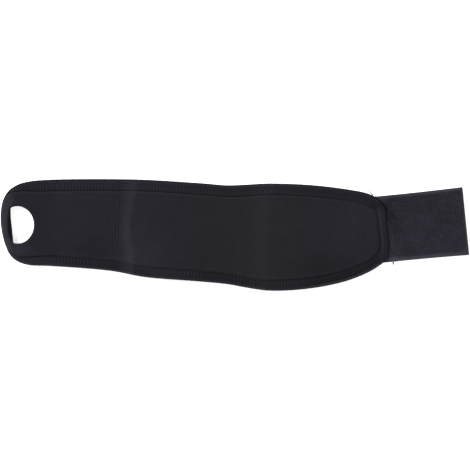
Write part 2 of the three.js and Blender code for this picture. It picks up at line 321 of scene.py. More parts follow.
# the wrap's outline and heights, shared by all of its pieces
wrap = dict(
    length=351,
    thickness=3.8,
    upperTip=(4.5, 31.8),
    # along from the thumb loop, upper edge, lower edge
    sides=[
        (6.4, 33.95, -14.85), (9.75, 36.3, -18.35), (14.25, 38.5, -20.95), (21.75, 40.3, -22.85),
        (36.75, 41.55, -23.5), (81.75, 42.0, -27.1), (108.0, 41.4, -31.75), (149.25, 38.9, -35.15),
        (170.0, 37.3, -37.2), (183.5, 37.8, -39.65), (201.75, 38.6, -41.95), (231.75, 37.5, -40.3),
        (258.0, 34.55, -35.1), (275.25, 31.1, -28.35),
    ],
    strapEnd=[(282.6, 27.2), (287.0, 22.2), (288.8, 8.0), (290.3, -10.0), (288.4, -19.0), (282.8, -23.9)],
    thumbEnd=[(3.6, -8.8), (1.0, 0.2), (-0.45, 13.6), (0.95, 24.8), (3.4, 30.3)],
    corners=(1, 4),  # rows of the strap end where the edge turns
    steps=120,  # points from row to row
    slowTurn=dict(start=18, full=9, shifts=(-5, -2.5, 0, 2.5, 5)),  # of the tape at those corners
    endBand=((-5, 3), (-2, 7)),  # from the upper and the lower corner
    folds=[
        dict(start=-7.5, front=18, level=0, back=33, rise=3.6, lean=0),
        dict(start=86, front=18, level=14, back=64, rise=4.4, lean=0.06, share=0.78,
             facet=(2.9, -0.06), reach=(-14, 34), softness=0.45,
             knee=[(-14, 13.8), (-9, 12.7), (-2, 10.3), (8, 9.6), (20, 10.9), (31, 12.6)]),
        dict(start=183, front=22, level=8, back=47, rise=4.2, lean=0.04),
    ],
    strapClimb=(259, 276, 0.35),  # the end lies on the strap
    endPress=(262, 280),  # and is sewn flatter there
    pulledFlat=(222, 242),  # as the stitches are towards the strap
    seamPitch=2.45,
    bound=dict(upper=8.4, end=5.2, lower=7.5, tip=1.2, upperTaper=(38, 2.6), lowerTaper=(46, 2.5), ease=20,
               # past the corner, reach and how much wider the tape is there
               upperCorner=(-7, 9, 2.8), lowerCorner=(1, 7, 2.9)),
    # the smooth turned edge outside the stitches, which is narrower on a narrow tape
    roll=dict(upper=2.6, lower=2.25, lowerEnd=2.95, full=7, least=0.4),
    wall=0.7,
    foldRoom=0.5,
    tipEase=(0.15, 2.0),
)

upperRows = [wrap["upperTip"]] + [(along, upper) for along, upper, lower in wrap["sides"]]
lowerRows = [(along, lower) for along, upper, lower in wrap["sides"][::-1]]
edgeRows = upperRows + wrap["strapEnd"] + lowerRows + wrap["thumbEnd"]
edge = ClosedLine(closedCurve(edgeRows, wrap["steps"]))
upperCorner, lowerCorner = [edge.runs[(len(upperRows) + row) * wrap["steps"]] for row in wrap["corners"]]
boundEnd = edge.runs[(len(edgeRows) - len(wrap["thumbEnd"]) - 1) * wrap["steps"]]


def inward(run):  # turns more slowly round the two corners at the strap
    slowly = wrap["slowTurn"]
    start, full = slowly["start"], slowly["full"]
    slow = within((upperCorner - start, upperCorner - full), (lowerCorner + full, lowerCorner + start), run)
    turned = unit(sum(edge.direction(run + shift) for shift in slowly["shifts"]))
    direction = unit(mixed(edge.direction(run), turned, slow[..., None]))
    return np.stack([direction[..., 1], -direction[..., 0]], axis=-1)


def boundWidth(run):  # how far the binding reaches in over the panel
    bound = wrap["bound"]
    width = mixed(bound["upper"], bound["end"], ease(upperCorner - bound["ease"], upperCorner, run))
    width = mixed(width, bound["lower"], ease(lowerCorner, lowerCorner + bound["ease"], run))
    for corner, start in (("upperCorner", upperCorner), ("lowerCorner", lowerCorner)):
        past, reach, wider = bound[corner]
        width = width + wider * bell(run - start, past, reach)
    for taper, fromTip in (("upperTaper", run), ("lowerTaper", boundEnd - run)):
        reach, power = bound[taper]
        width = mixed(width, bound["tip"], np.clip(1 - fromTip / reach, 0, 1) ** power)
    return width


def boundGrip(run):  # 1 under the binding, 0 on the bare thumb end
    pastTip = np.minimum(run - boundEnd, edge.length - run)
    return 1 - ease(*wrap["tipEase"], pastTip)


def strapEndShare(run):  # 1 along the smooth band at the strap
    upper, lower = np.array(wrap["endBand"])
    return within(upperCorner + upper, lowerCorner + lower, run)


def lowerShare(run):  # 0 on the upper side, 1 on the lower side
    return ease(upperCorner, lowerCorner, run)


def flatShare(run):  # 1 where the stitches are pulled flat
    return ease(*wrap["pulledFlat"], edge.at(run)[..., 0])


def rollWidth(run):
    roll = wrap["roll"]
    width = mixed(roll["upper"], mixed(roll["lower"], roll["lowerEnd"], flatShare(run)), lowerShare(run))
    return width * np.clip(boundWidth(run) / roll["full"], roll["least"], 1)


def seamWave(run):  # 1 at each stitch, -1 between them
    return np.cos(2 * math.pi * run / wrap["seamPitch"])


def midHeight(along, across):
    height = np.full(np.shape(along), wrap["thickness"] / 2)
    for fold in wrap["folds"]:
        offset = along - fold["start"] - fold["lean"] * across
        climb = ease(0, fold["front"], offset)
        if "facet" in fold:
            low = fold["facet"][0] + fold["facet"][1] * np.clip(across, *fold["reach"])
            high = fromTable(fold["knee"], across)
            climb = mixed(climb, softRamp(low, high, fold["softness"], offset) ** 2, fold["share"])
        level = fold["front"] + fold["level"]
        height = height + fold["rise"] * (climb - ease(level, level + fold["back"], offset))
    low, high, lift = wrap["strapClimb"]
    return height + lift * ease(low, high, along)


def onWrap(flat, height):  # along, across and height to the part's frame
    height = height + 0 * flat[..., 0]
    return np.stack([flat[..., 0] - wrap["length"] / 2, flat[..., 1], height], axis=-1)


print("outline: %.1f mm round, bound for %.1f mm" % (edge.length, boundEnd))


# foam panel with knit faces
panel = dict(
    bound=1.8, rim=0.7, boundRound=1.2, bareRound=2.6,
    swell=(2.0, 0.75),  # past the seam, and how round
    crest=(0.16, 1.5, 0.9),  # the foam stands up a little beside the seam: height, place, width
    pucker=(0.11, 2.4),  # height and how far in
    billow=(0.13, 26, 11),  # height and the sizes of its waves
    pressed=(0.86, 0.6),  # at the strap, upper and lower face
    underTape=[0, 0.05, 0.15, 0.4, 0.7, 0.9, 1.0],
    pastTape=[0.08, 0.22, 0.45, 0.8, 1.25, 1.8, 2.6, 3.6, 4.8],
    thumbLines=[0, 0.07, 0.2, 0.42, 0.7, 1.05, 1.5, 2.1, 2.8, 3.6, 4.6, 5.7, 7.0],
    rows=38, columns=560,
    closeColumns=[(78, 103), (176, 192)], closer=1.3,  # finer where the creases are
    hole=dict(along=12.3, across=7.5, reach=12.3, half=14.0, first=115, last=-105.5, corner=1.7, points=720,
              slant=2.7,  # the straight side leans back and shows its foam
              bows=[(0.18, 0.1, 0.12), (-0.36, 0.7, 0.2)],  # of that side: how far, where, how long
              straight=(10.5, 13.5), rounding=(1.3, 2.4)),  # elsewhere and on the straight side
    # cells taken out for the hole: along from and to, across from and to, and how the rest gives way
    holeCells=dict(along=(9.2, 23.0), across=(19.0, -4.5), columns=60, rows=9, rounds=2500),
    # along at the centre line, lean, across from and to, width, depth
    creases=[
        (84.2, 0.02, -12, 38, 0.55, 0.16), (86.6, -0.03, -8, 38, 0.5, 0.22),
        (88.4, 0.03, -14, 38, 0.5, 0.19), (82.0, 0.05, 4, 26, 0.5, 0.08),
        (182.4, 0.05, -27, -2, 0.45, 0.12), (184.6, 0.03, -25, 2, 0.5, 0.17),
        (187.0, 0.06, -20, 6, 0.45, 0.09),
        (262.0, 0.10, -20, 16, 0.8, 0.06), (268.5, 0.08, -16, 18, 0.7, 0.07),
        (91.0, 0.05, -14, 38, 0.6, 0.06), (93.4, 0.04, -10, 38, 0.6, 0.07), (96.0, 0.12, 4, 40, 0.6, 0.07),
    ],
    creaseEnds=(4, 7),  # how far a crease fades out and in
    wale=0.62, course=0.5,
    face=shade(30, 29, 35), faceLight=shade(35, 34, 41), strip=shade(46, 45, 51),
    fade=(1.0, 0.965, 0.8, 1.0),
    foam=shade(25, 24, 32), foamDark=shade(13, 12, 18),
    look=dict(tone="panelPaintedShading", weave=(0.84, 0.22), rough=(0.86, 0.1), fuzz=0.5, depth=0.16,
              specular=0.08, sheen=(0.03, 0.45)),
    seamDark=(0.6, 0.3, (25, 60)),  # painted shade in the groove along the seam, on the lower side, at the thumb end and from there on
    # painted highlight on the foam's crest beside the seam, upper and lower side: place, width, how light
    seamLight=dict(place=(0.2, 0.8), width=0.9, tone=(0.3, 0.45)),
    # soft patches of painted light and shade: along, across, size along, size across, how much lighter or
    # darker
    wear=[
        (70, -12, 22, 9, -0.16), (112, -16, 16, 12, 0.2), (165, 8, 26, 32, 0.09), (250, -25, 26, 9, -0.16),
        (258, 12, 42, 26, 0.21), (99, -13, 8, 8, 0.12), (94, -1, 4.5, 10, 0.2), (103, 10, 9, 30, 0.07),
        (14, -11.5, 10, 4.5, 0.5), (190, 0, 7, 40, -0.07),
    ],
)

knitFace = Finish("knitFace")
place = knitFace.places()
parts = knitFace.node("SeparateXYZ", sockets={0: place})
beside = knitFace.maths("ABSOLUTE", knitFace.maths("FRACT", parts.output("X") / panel["wale"]) - 0.5)
loops = knitFace.sine(parts.output("Y") / panel["course"] + beside * 1.2)
knit = knitFace.sine(beside) * (0.62 + 0.38 * loops)
heather = knitFace.cloud(place, 1.7, 3.0)
patches = knitFace.cloud(place, 0.055)
mottle = knitFace.cloud(place, 0.15)
tone = knitFace.step(heather * 0.65 + patches * 0.15 + mottle * 0.2, 0.36, 0.66)
cloth = knitFace.colours(tone, panel["face"], panel["faceLight"])
cloth = knitFace.colours(knitFace.stored("thumbStrip") * 0.6, cloth, panel["strip"])
cloth = knitFace.tinted(cloth, panel["fade"], knitFace.stored("faded"))
knitFace.clothe(cloth, knit, heather, panel["look"])

foamEdge = Finish("foamEdge")
cells = foamEdge.node("TexVoronoi", None, {"Vector": foamEdge.places(), "Scale": 2.4})
pores = foamEdge.step(cells, 0.12, 0.5)
foamEdge.dress({
    "Base Color": foamEdge.colours(pores, panel["foamDark"], panel["foam"]),
    "Roughness": 0.95 - 0.1 * pores,
    "Normal": foamEdge.relief(pores, 0.15),
    "Specular IOR Level": 0.1,
})


def thumbHoleLine():  # half round with a straight side, corners eased
    hole = panel["hole"]
    turns = np.radians(np.linspace(hole["first"], hole["last"], 300))
    curve = np.stack([hole["along"] + hole["reach"] * np.cos(turns),
                      hole["across"] + hole["half"] * np.sin(turns)], axis=1)
    share = np.linspace(0, 1, 200)[1:-1, None]
    straight = mixed(curve[-1], curve[0], share)
    straight[:, :1] += sum(bow * bell(share, middle, width) for bow, middle, width in hole["bows"])
    raw = ClosedLine(np.vstack([curve, straight]))
    roundShare = raw.runs[len(curve) - 1] / raw.length
    count = hole["points"]
    even = raw.at(np.linspace(0, raw.length, count, endpoint=False))
    reach = int(round(hole["corner"] / raw.length * count)) + 1
    weights = np.hanning(2 * reach + 3)[1:-1]
    weights = weights / weights.sum()
    shifts = range(-reach, reach + 1)
    eased = sum(weight * np.roll(even, shift, axis=0) for weight, shift in zip(weights, shifts))
    share = (np.arange(count) / count - roundShare) / (1 - roundShare)
    slant = within((0, 0.2), (0.9, 1.0), share) * mixed(1, 0.4, ease(0.45, 0.9, share)) * hole["slant"]
    leaning = eased - np.stack([slant, slant * 0], axis=1)
    return ClosedLine(eased), ClosedLine(leaning), roundShare


holeLine, holeTopLine, holeRoundShare = thumbHoleLine()


def panelEdgeAt(run):
    inset = (wrap["wall"] + wrap["foldRoom"]) * boundGrip(run)
    return edge.at(run) + inward(run) * inset[..., None]


panelEdgeRuns = np.linspace(0, edge.length, 4001)
panelEdge = ClosedLine(panelEdgeAt(panelEdgeRuns[:-1]))


def squeezeEnd(run):
    return boundWidth(run) - wrap["wall"]


def boundLines(run):  # grid lines that follow a bound edge
    strip = squeezeEnd(run)
    under = [strip * share for share in panel["underTape"]]
    past = [strip + distance for distance in panel["pastTape"]]
    return np.stack(under + past, axis=-1)


def panelGrid():
    # columns by share of the length, closer where the creases are
    length = float(np.linalg.norm(edge.at(np.array(upperCorner)) - edge.at(np.array(0.0))))
    endLines = boundLines(np.array((upperCorner + lowerCorner) / 2))
    fine = np.linspace(panel["thumbLines"][-1], length - endLines[-1], 2000)
    density = np.ones(fine.shape)
    for low, high in panel["closeColumns"]:
        density = density + panel["closer"] * within((low - 12, low - 4), (high - 4, high + 4), fine)
    filled = np.cumsum(density)
    filled = (filled - filled[0]) / (filled[-1] - filled[0])
    even = np.interp(np.linspace(0, 1, panel["columns"]), filled, fine)[1:-1]
    p = np.concatenate([panel["thumbLines"], even, length - endLines[::-1]]) / length
    upperRun = mixed(0, upperCorner, p)
    lowerRun = mixed(boundEnd, lowerCorner, p)
    upper = panelEdgeAt(upperRun)
    lower = panelEdgeAt(lowerRun)
    height = np.linalg.norm(upper - lower, axis=1)[:, None]
    first = boundLines(upperRun) / height
    last = 1 - boundLines(lowerRun)[:, ::-1] / height
    between = np.linspace(0, 1, panel["rows"] + 2)[None, 1:-1]
    q = joined(first, mixed(first[:, -1:], last[:, :1], between), last)
    # the four sides blended over the grid
    left = panelEdgeAt(mixed(edge.length - 1e-6, boundEnd, q))
    right = panelEdgeAt(mixed(upperCorner, lowerCorner, q))
    p, q = p[:, None, None], q[..., None]
    grid = upper[:, None] * (1 - q) + lower[:, None] * q + left * (1 - p) + right * p
    corners = [panelEdgeAt(np.array(run)) for run in (0.0, upperCorner, boundEnd, lowerCorner)]
    grid = grid - (1 - p) * (1 - q) * corners[0] - p * (1 - q) * corners[1]
    return grid - (1 - p) * q * corners[2] - p * q * corners[3]


def closest(values, targets):
    return [int(np.argmin(np.abs(values - target))) for target in targets]


def fitHole(grid, line):  # moves a block of cells onto the thumb hole and eases its surroundings
    cells = panel["holeCells"]
    columns, rows = grid.shape[:2]
    c0, c1 = closest(grid[:, rows // 2, 0], cells["along"])
    r0, r1 = closest(grid[(c0 + c1) // 2, :, 1], cells["across"])
    roundPath = [(c, r0) for c in range(c0, c1)] + [(c1, r) for r in range(r0, r1)]
    roundPath = roundPath + [(c, r1) for c in range(c1, c0, -1)]
    straightPath = [(c0, r) for r in range(r1, r0, -1)]
    roundRun = np.linspace(0, holeRoundShare, len(roundPath), endpoint=False)
    straightRun = np.linspace(holeRoundShare, 1, len(straightPath), endpoint=False)
    path = tuple(np.transpose(roundPath + straightPath))
    marks = np.linspace(0, 1, len(line.points) + 1)
    target = line.at(np.interp(np.concatenate([roundRun, straightRun]), marks, line.runs))
    moved = c1 + cells["columns"]
    held = np.ones((moved + 2, rows, 1), bool)
    held[1:moved, cells["rows"]:rows - cells["rows"]] = False
    held[c0:c1 + 1, r0:r1 + 1] = True
    shift = np.zeros_like(grid)
    shift[path] = target - grid[path]
    block = shift[:moved + 2]
    for _ in range(cells["rounds"]):
        near = np.roll(block, 1, 0) + np.roll(block, -1, 0) + np.roll(block, 1, 1) + np.roll(block, -1, 1)
        block = np.where(held, block, near / 4)
    shift[:moved + 2] = block
    keep = np.ones((columns - 1, rows - 1), bool)
    keep[c0:c1, r0:r1] = False
    return grid + shift, keep


def creaseDepth(along, across):
    depth = np.zeros(np.shape(along))
    fade, full = panel["creaseEnds"]
    for index, (middle, lean, low, high, width, drop) in enumerate(panel["creases"]):
        wander = 0.9 * waver(across, 14, index) + 0.3 * waver(across, 5, index)
        patchy = 0.45 + 0.55 * ease(-0.3, 0.2, waver(across, 8, index + 20))
        offset = along - middle - lean * across - wander
        reach = within((low - fade, low + full), (high - full, high + fade), across)
        shoulder = 0.45 * bell(np.abs(offset), 2.1 * width, width)
        depth = depth + drop * reach * patchy * (shoulder - bell(offset, 0, width))
    return depth


def roundedTo(thickness, distance, radius, rim):
    return mixed(rim, thickness, rounded(distance, radius))


def panelPaintedShading(along, across, run, past, grip):  # how light the knit is: painted shade along the seam, a painted highlight beside it and soft patches of painted light and shade
    lower = lowerShare(run)
    atThumb, onward, reach = panel["seamDark"]
    # painted shade in the groove along the seam, on the lower side
    seam = grip * fading(past, 0.5) * ease(-0.6, 0.0, past)
    tone = 1 - mixed(atThumb, onward, ease(*reach, along)) * seam * lower
    light = panel["seamLight"]
    # painted highlight on the foam's crest just past the seam
    beside = grip * bell(past, mixed(*light["place"], lower), light["width"]) * (1 - strapEndShare(run))
    # with soft patches of painted light and shade
    return tone + mixed(*light["tone"], lower) * beside + blots(panel["wear"], along, across)


def panelFace(grid, line, side):  # one face of the panel, up or down from its middle
    along, across = grid[..., 0], grid[..., 1]
    distance, run = panelEdge.nearest(grid)
    run = np.interp(run, panelEdge.runs, panelEdgeRuns)
    holeDistance = line.nearest(grid)[0]
    past = distance - squeezeEnd(run)
    grip = boundGrip(run)
    reach, roundness = panel["swell"]
    swell = mixed(ease(0, reach, past), rounded(past, reach), roundness)
    squeezed = mixed(panel["bound"], wrap["thickness"], swell)
    boundForm = roundedTo(squeezed, distance, panel["boundRound"], panel["rim"])
    bareForm = roundedTo(wrap["thickness"], distance, panel["bareRound"], panel["rim"])
    thick = mixed(bareForm, boundForm, grip)
    holeRound = mixed(*panel["hole"]["rounding"], 1 - ease(*panel["hole"]["straight"], along))
    thick = roundedTo(thick, holeDistance, holeRound, thick - holeRound)
    deep, reach = panel["pucker"]
    pull = deep * grip * fading(past, reach) * ease(-0.4, 0.5, past)
    wave = np.cos(2 * math.pi * run / wrap["seamPitch"] + 0.9 * waver(run, 6, 3))
    puckers = pull * wave * (0.5 + 0.8 * waver(run, 9, 4)) * (1 - strapEndShare(run))
    high, middle, width = panel["crest"]
    crest = high * grip * bell(past, middle, width)
    clear = ease(1.2, 6, past) * ease(1.5, 6, holeDistance)
    high, large, small = panel["billow"]
    billow = high * clear * (ripple(along, across, large, 1) + 0.5 * ripple(along, across, small, 2))
    press = ease(*wrap["endPress"], along)
    height = side * thick / 2 * mixed(1, panel["pressed"][0 if side > 0 else 1], press)
    if side > 0:
        height = height + puckers + crest + billow + creaseDepth(along, across) * clear
    else:
        height = height + np.clip(billow, 0, 1) * 0.6 * (1 - press)
    strip = 1 - ease(5.5, 10.5, along - 0.05 * (across - 7.35))
    strip = strip * within((-17, -9), (24, 33), across)
    faded = 0.8 * ease(132, 152, along) * (1 - 0.35 * ease(168, 190, along) - 0.45 * ease(196, 240, along))
    fields = (strip, panelPaintedShading(along, across, run, past, grip), faded)
    spots = onWrap(grid, midHeight(along, across) + height)
    return [spots.reshape(-1, 3)] + [field.ravel() for field in fields]


def makePanel():
    grid = panelGrid()
    topGrid, keep = fitHole(grid, holeTopLine)
    bottomGrid, keep = fitHole(grid, holeLine)
    top = panelFace(topGrid, holeTopLine, 1)
    bottom = panelFace(bottomGrid, holeLine, -1)
    tables = [np.concatenate(pair) for pair in zip(top, bottom)]
    faces = sheetFaces(keep)
    finish = np.repeat([0, 0, 1], [len(part) for part in faces])
    used, faces = np.unique(np.vstack(faces), return_inverse=True)
    spots, strips, tones, faded = [table[used] for table in tables]
    values = dict(thumbStrip=strips, panelPaintedShading=tones, faded=faded)
    return makePiece("panelFoam", spots, faces.reshape(-1, 4), [knitFace, foamEdge], values, finish)


panelFoam = makePanel()
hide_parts("panel")
print("panel: %d faces" % len(panelFoam.data.polygons))


# folded binding tape round the edge
binding = dict(
    slot=(1.2, 0.8),  # on the tape, and on the flat band at the strap
    over=(1.9, 1.2),  # the same
    under=(1.62, 1.15),  # thinner, because its stitches lie on the table
    bendShare=0.45, fullWidth=5.0,  # a narrow tape bends less deep
    ends=(0.62, 8),  # pressed thin at its two cut ends
    station=0.42,
    legs=[0, 0.03, 0.07, 0.13, 0.22, 0.34, 0.47, 0.6, 0.7, 0.78, 0.84, 0.89, 0.93, 0.97, 1.0],
    bend=[22, 45, 66, 85, 90, 95, 114, 135, 158],
    inner=[270, 225, 180, 135, 90],
    pressed=(0.12, 0.5),  # at the groove, upper and lower side
    groove=0.4, pucker=0.24, scallop=0.12,
    # the band at the strap stands up along its crown; streak is the width of the painted highlight there
    crown=dict(height=0.22, place=3.5, sway=0.3, width=0.9, streak=0.7),
    rollGroove=(0.17, 0.34), rollSway=0.35,
    bare=(3.8, 5.0),  # short stitches leave a second groove in the tape
    second=(0.42, 0.4),  # its place from the turned edge to the panel, and its width
    cloth=shade(23, 22, 27), clothLight=shade(29, 28, 34),
    look=dict(tone="tapePaintedShading", weave=(0.86, 0.2), rough=(0.84, 0.1), fuzz=0.4, depth=0.14,
              specular=0.08, sheen=(0.02, 0.5)),
    # along the wrap, and the painted light and shade of the tape and its stitches there: how much lighter
    # or darker
    upperPaintedLight=[
        (0, 1.03), (33, 1.03), (64, 0.95), (120, 1.03), (146, 1.04), (160, 1.1), (176, 1.02), (190, 0.97),
        (203, 1.11), (228, 1.2), (240, 1.18), (262, 1.06), (274, 1.06), (284, 1.24),
    ],
    lowerPaintedLight=[
        (0, 1.35), (22, 1.5), (34, 1.1), (46, 0.87), (60, 0.72), (85, 0.86), (94, 1.04), (106, 1.15),
        (120, 1.02), (135, 1.02), (155, 0.8), (180, 0.72), (192, 0.74), (204, 0.86), (226, 0.88),
        (240, 0.8), (274, 0.8), (284, 0.88),
    ],
    # along the wrap and how wide the dark turned edge is on the upper side
    upperRim=[
        (0, 1.25), (40, 1.3), (55, 1.6), (110, 1.55), (125, 1.3), (150, 0.95), (200, 1.0), (215, 1.4),
    ],
    # painted shade in the grooves and at the corners, a darker rim, painted light on the end band, and
    # painted highlights along its crown and on the turned edge
    tones=dict(groove=0.35, roll=(0.05, 0.25), rollBare=0.3, second=0.25, rim=0.6,
               bandEdge=(0.8, 1.5), band=0.32, streak=0.45, corner=(0.24, 0.4), patches=0.07,
               turned=(0.68, 1.3, 0.9), turnedPlace=(2.1, 1.75, 1.1), turnedWidth=(0.6, 0.85)),
)

# cover stitch that lies over the binding
stitch = dict(
    # along the wrap and how far the stitches reach out from the groove there
    upperReach=[(0, 5.5), (80, 5.5), (89, 4.2), (94, 4.2), (102, 5.3), (140, 5.2), (156, 4.1), (245, 4.0),
                (262, 4.6), (290, 4.6)],
    lowerReach=[(0, 5.0), (70, 5.0), (84, 3.8), (106, 3.8), (120, 4.6), (222, 4.9), (238, 3.9), (290, 3.9)],
    # along the wrap and how light the thread is there
    upperTone=[(0, 1), (140, 1), (150, 0.85), (208, 0.78), (226, 0.58), (290, 0.5)],
    lowerTone=[(0, 0.7), (22, 0.75), (34, 1), (72, 1), (84, 0.72), (106, 0.72), (118, 1), (220, 0.92),
               (236, 0.56), (290, 0.52)],
    fromGroove=0.3, shortest=1.4, slant=0.5, wobble=0.16,
    halfWidth=0.44, halfHeight=0.18, rings=9, sides=6,
    sink=0.26, lift=(0.1, 0.04),  # upper and lower face
    link=dict(half=0.17, past=0.35, rings=7, sides=4, turn=0.4, lift=(0.03, -0.1)),
    thread=shade(31, 30, 36), threadLight=shade(42, 41, 49),
    look=dict(tone="threadTone", weave=(0.86, 0.14), rough=(0.7, 0.15), fuzz=1.0, depth=0.1,
              specular=0.15, sheen=(0.04, 0.5)),
)

bindingTape = Finish("bindingTape")
run = bindingTape.stored("tapeRun")
over = bindingTape.stored("tapeOver")
weave = 0.5 + 0.3 * bindingTape.sine(over / 0.62) + 0.2 * bindingTape.sine(run / 0.5)
fuzz = bindingTape.cloud(bindingTape.spot(run, over), 1.3, 3.0)
cloth = bindingTape.colours(fuzz, binding["cloth"], binding["clothLight"])
bindingTape.clothe(cloth, weave, fuzz, binding["look"])


def alongSides(run, piece, name):  # a value that changes along the upper and the lower side
    along = edge.at(run)[..., 0]
    upper, lower = [fromTable(piece[side + name], along) for side in ("upper", "lower")]
    return mixed(upper, lower, lowerShare(run))


def ribReach(run):  # how far the stitches reach out from the groove
    most = boundWidth(run) - rollWidth(run) - stitch["fromGroove"]
    return np.minimum(alongSides(run, stitch, "Reach"), most)


# painted light and shade along the wrap, for the tape and its stitches
def tapePaintedLight(run):
    return alongSides(run, binding, "PaintedLight")


# the thread's lightness along the wrap, times the tape's painted light and shade
def threadTone(run):
    return alongSides(run, stitch, "Tone") * tapePaintedLight(run)


def bandWindow(run, inwardBy, width):  # 1 where the cover stitch lies
    start = width - ribReach(run)
    return within((start - 0.6, start + 0.5), (width - 0.6, width - 0.1), inwardBy)


def tuck(run):  # the tape is pressed thin at its two cut ends
    thin, reach = binding["ends"]
    return mixed(thin, 1, ease(0, reach, np.minimum(run, boundEnd - run)))


def bendReach(width):
    return np.minimum(binding["over"][0], binding["bendShare"] * width)


def widthShare(width):
    return np.clip(width / binding["fullWidth"], 0, 1)


def grooveShare(inwardBy, width):  # 1 at the tape's inner edge
    return fading(width - inwardBy, binding["groove"]) * widthShare(width)


def rollLine(run):  # where the turned edge meets the stitches
    return rollWidth(run) + binding["rollSway"] * waver(run, 21, 9)


def bareShare(run):  # 1 where the stitches are short
    return 1 - ease(*binding["bare"], ribReach(run))


def secondGroove(run, inwardBy, width):
    share, wide = binding["second"]
    return bell(inwardBy, mixed(rollLine(run), width, share), wide)


def fromCrown(run, inwardBy):  # the flat band stands up along its middle
    crown = binding["crown"]
    return inwardBy - crown["place"] - crown["sway"] * waver(run, 11, 18)


def tapeHeight(run, inwardBy, width, side):  # outer face, up or down from the panel's middle
    smooth = strapEndShare(run)
    full = mixed(*binding["over" if side > 0 else "under"], smooth) * tuck(run)
    pressed = mixed(*binding["pressed"], lowerShare(run)) * (1 - 0.4 * smooth)
    pressed = pressed * grooveShare(inwardBy, width)
    plain = widthShare(width) * (1 - smooth)
    bare = bareShare(run)
    depth = binding["pucker"] * bandWindow(run, inwardBy, width) * (0.5 + 0.5 * seamWave(run))
    depth = depth * plain * (1 - 0.6 * bare) * (1 - 0.5 * flatShare(run))
    height = full * rounded(inwardBy, bendReach(width)) - pressed - depth
    if side < 0:
        return height
    deep, wide = binding["rollGroove"]
    grooves = bell(inwardBy, rollLine(run), wide) + bare * secondGroove(run, inwardBy, width)
    crown = binding["crown"]["height"] * bell(fromCrown(run, inwardBy), 0, binding["crown"]["width"])
    crown = crown * (1 + 0.6 * ripple(run, inwardBy, 6, 19)) - 0.3 * (1 - ease(0, 3.4, inwardBy))
    return height - deep * grooves * plain + crown * smooth


def tapePaintedShading(run, inwardBy, width):  # how light the tape is: painted shade, painted light and highlights, a darker upper rim and random patches
    tones = binding["tones"]
    lower, smooth, bare = lowerShare(run), strapEndShare(run), bareShare(run)
    along = edge.at(run)[..., 0]
    # painted shade in the groove where the turned edge meets the stitches, and in the second groove
    roll = (mixed(*tones["roll"], lower) + tones["rollBare"] * bare) * bell(inwardBy, rollLine(run), 0.32)
    second = tones["second"] * bare * secondGroove(run, inwardBy, width)
    rim = tones["rim"] * np.exp(-(inwardBy / fromTable(binding["upperRim"], along)) ** 4) * (1 - lower)
    # painted shade in the groove at the tape's inner edge, on the lower side
    tone = 1 - tones["groove"] * grooveShare(inwardBy, width) * lower
    for dark in (roll, second, rim):
        tone = tone * (1 - dark * (1 - smooth))
    # painted light on the end band's outer edge, which lies in shade
    tone = tone + mixed(*tones["bandEdge"], lower) * bell(inwardBy, 0, 1.1) * smooth
    # a painted highlight along the end band's crown, over a band painted lighter
    streak = bell(fromCrown(run, inwardBy), 0, binding["crown"]["streak"]) * (0.6 + 0.6 * waver(run, 8, 16))
    tone = tone * (1 + (tones["band"] + tones["streak"] * streak) * smooth)
    # painted shade at the two corners, made uneven
    corner = bell(run, upperCorner - 4, 7) + 0.6 * bell(run, lowerCorner + 3, 6)
    dark, uneven = tones["corner"]
    tone = tone * (1 - corner * (dark + uneven * ripple(run, inwardBy * 2, 2.4, 17)))
    # random patches, times the painted light and shade along the wrap
    tone = tone * (1 + tones["patches"] * ripple(run, inwardBy * 2, 13, 10)) * tapePaintedLight(run)
    # painted highlight on the turned edge, with more painted light where the lower edge is pulled flat
    first, onward, below = tones["turnedPlace"]
    turned = mixed(mixed(first, onward, ease(125, 150, along)), below, lower)
    turned = bell(inwardBy, turned, mixed(*tones["turnedWidth"], lower))
    above, below, flat = tones["turned"]
    return tone + mixed(above, below + flat * flatShare(run), lower) * turned * (1 - smooth)


def onTape(run, inwardBy, height):  # a place on the binding in the part's frame
    flat = edge.at(run) + inward(run) * inwardBy[..., None]
    return onWrap(flat, midHeight(flat[..., 0], flat[..., 1]) + height)


